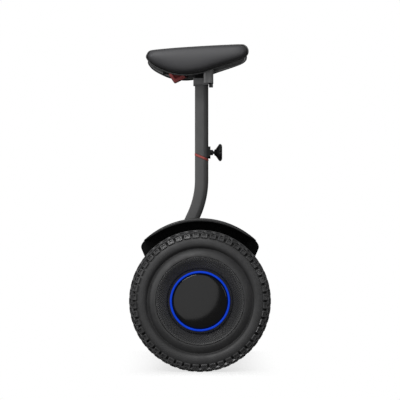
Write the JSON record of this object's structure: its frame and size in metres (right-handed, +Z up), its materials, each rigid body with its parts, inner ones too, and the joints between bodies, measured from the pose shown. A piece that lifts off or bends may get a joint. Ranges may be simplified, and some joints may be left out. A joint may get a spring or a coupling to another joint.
{
  "type": "self-balancing knee-steered transporter",
  "caption": "Two-wheeled self-balancing stand-on transporter with a raked stem, a sliding upper tube, paired knee pads and fenders over block-tread tyres.",
  "frame": {"origin": "on the ground, midway between the wheels, straight under the axle line", "axes": "+X to the front, +Y to the rider's left along the axle, +Z up"},
  "size_m": [0.266, 0.548, 0.6313],
  "materials": {
    "tyre_rubber": "moulded black rubber, block tread",
    "motor_alloy": "cast and machined, satin",
    "magnet_steel": "nickel-plated segments",
    "bearing_steel": "ground steel",
    "screw_steel": "black oxide",
    "stator_copper": "laminated core with enamelled windings",
    "dish_black": "fine diamond knurl",
    "light_blue": "lit diffuser ring",
    "cap_black": "smooth, slightly glossy",
    "casing_black": "fine moulded texture",
    "deck_grey": "fine moulded texture",
    "mat_rubber": "ribbed",
    "fender_black": "satin moulded, lighter top edge",
    "battery_wrap": "shrink sleeve",
    "board_green": "circuit board",
    "lens_clear": "clear lens over white lamps",
    "lens_red": "red lens",
    "shaft_steel": "turned steel",
    "bush_bronze": "sintered bronze",
    "stem_grey": "satin dark grey powder coat",
    "post_alloy": "anodised",
    "band_red": "muted red anodised",
    "clamp_black": "hard black plastic",
    "clamp_grey": "satin grey",
    "lever_red": "muted red, satin",
    "shell_black": "satin moulded shell",
    "pad_skin": "soft grained pad skin"
  },
  "bodies": {
    "chassis": {"chassis": "casing_black", "bottom_cover": "casing_black", "battery_packs": "battery_wrap", "control_board": "board_green", "axle_clamps": "motor_alloy", "chassis_screws": "screw_steel", "deck_cover": "deck_grey", "left_foot_mat": "mat_rubber", "right_foot_mat": "mat_rubber", "left_fender": "fender_black", "right_fender": "fender_black", "headlights": "lens_clear", "tail_lights": "lens_red", "charge_socket": "clamp_black", "pivot_bracket": "motor_alloy", "pivot_shaft": "shaft_steel", "centring_spring": "bearing_steel", "wheel_axles": "shaft_steel", "motor_stators": "stator_copper"},
    "left_wheel": {"left_tyre": "tyre_rubber", "left_rim": "motor_alloy", "left_magnet_ring": "magnet_steel", "left_bearings": "bearing_steel", "left_motor_cover": "motor_alloy", "left_cover_screws": "screw_steel", "left_dish": "dish_black", "left_light_ring": "light_blue", "left_hub_cap": "cap_black", "left_valve": "mat_rubber"},
    "right_wheel": {"right_tyre": "tyre_rubber", "right_rim": "motor_alloy", "right_magnet_ring": "magnet_steel", "right_bearings": "bearing_steel", "right_motor_cover": "motor_alloy", "right_cover_screws": "screw_steel", "right_dish": "dish_black", "right_light_ring": "light_blue", "right_hub_cap": "cap_black", "right_valve": "mat_rubber"},
    "steering_column": {"steering_barrel": "stem_grey", "pivot_bushes": "bush_bronze", "stem_screws": "screw_steel", "lower_stem": "stem_grey", "inner_post": "post_alloy", "stop_band": "band_red"},
    "mast": {"upper_tube": "stem_grey", "clamp_boss": "clamp_black", "head_bracket": "stem_grey", "head_clamp": "clamp_grey", "head_cover": "shell_black", "head_screws": "screw_steel", "left_pad_shell": "shell_black", "right_pad_shell": "shell_black", "left_knee_pad": "pad_skin", "right_knee_pad": "pad_skin"},
    "shoe": {"clamp_shoe": "bearing_steel"},
    "knob": {"clamp_knob": "clamp_black"},
    "lever": {"release_lever": "lever_red"},
    "button": {"power_button": "clamp_grey"},
    "socket_cap": {"charge_cap": "mat_rubber"}
  },
  "joints": [
    {"name": "left_wheel_spin", "type": "hinge", "parent": "chassis", "child": "left_wheel", "pos_m": [0, 0.239, 0.133], "axis": [0, 1, 0], "continuous": true},
    {"name": "right_wheel_spin", "type": "hinge", "parent": "chassis", "child": "right_wheel", "pos_m": [0, -0.239, 0.133], "axis": [0, 1, 0], "continuous": true},
    {"name": "steer_lean", "type": "hinge", "parent": "chassis", "child": "steering_column", "pos_m": [0.06, 0, 0.12], "axis": [1, 0, 0], "range_deg": [-12, 12], "stiffness_Nm_per_rad": 50},
    {"name": "mast_height", "type": "slide", "parent": "steering_column", "child": "mast", "axis": [0, 0, 1], "range_m": [0, 0.08]},
    {"name": "clamp_travel", "type": "slide", "parent": "mast", "child": "shoe", "axis": [-1, 0, 0], "range_m": [0, 0.0026]},
    {"name": "knob_turn", "type": "hinge", "parent": "shoe", "child": "knob", "pos_m": [-0.035, 0, 0.42], "axis": [-1, 0, 0], "range_deg": [0, 720]},
    {"name": "lever_pull", "type": "hinge", "parent": "mast", "child": "lever", "pos_m": [0.0275, 0, 0.574], "axis": [0, 1, 0], "range_deg": [0, 18], "stiffness_Nm_per_rad": 0.3},
    {"name": "button_press", "type": "slide", "parent": "chassis", "child": "button", "axis": [0, 0, -1], "range_m": [0, 0.0015], "stiffness_N_per_m": 800},
    {"name": "charge_cap_swing", "type": "hinge", "parent": "chassis", "child": "socket_cap", "pos_m": [-0.1022, 0, 0.1355], "axis": [0, 1, 0], "range_deg": [0, 110]}
  ],
  "couplings": [
    {"joint": "clamp_travel", "follows": "knob_turn", "m_per_rad": 0.00019894}
  ]
}
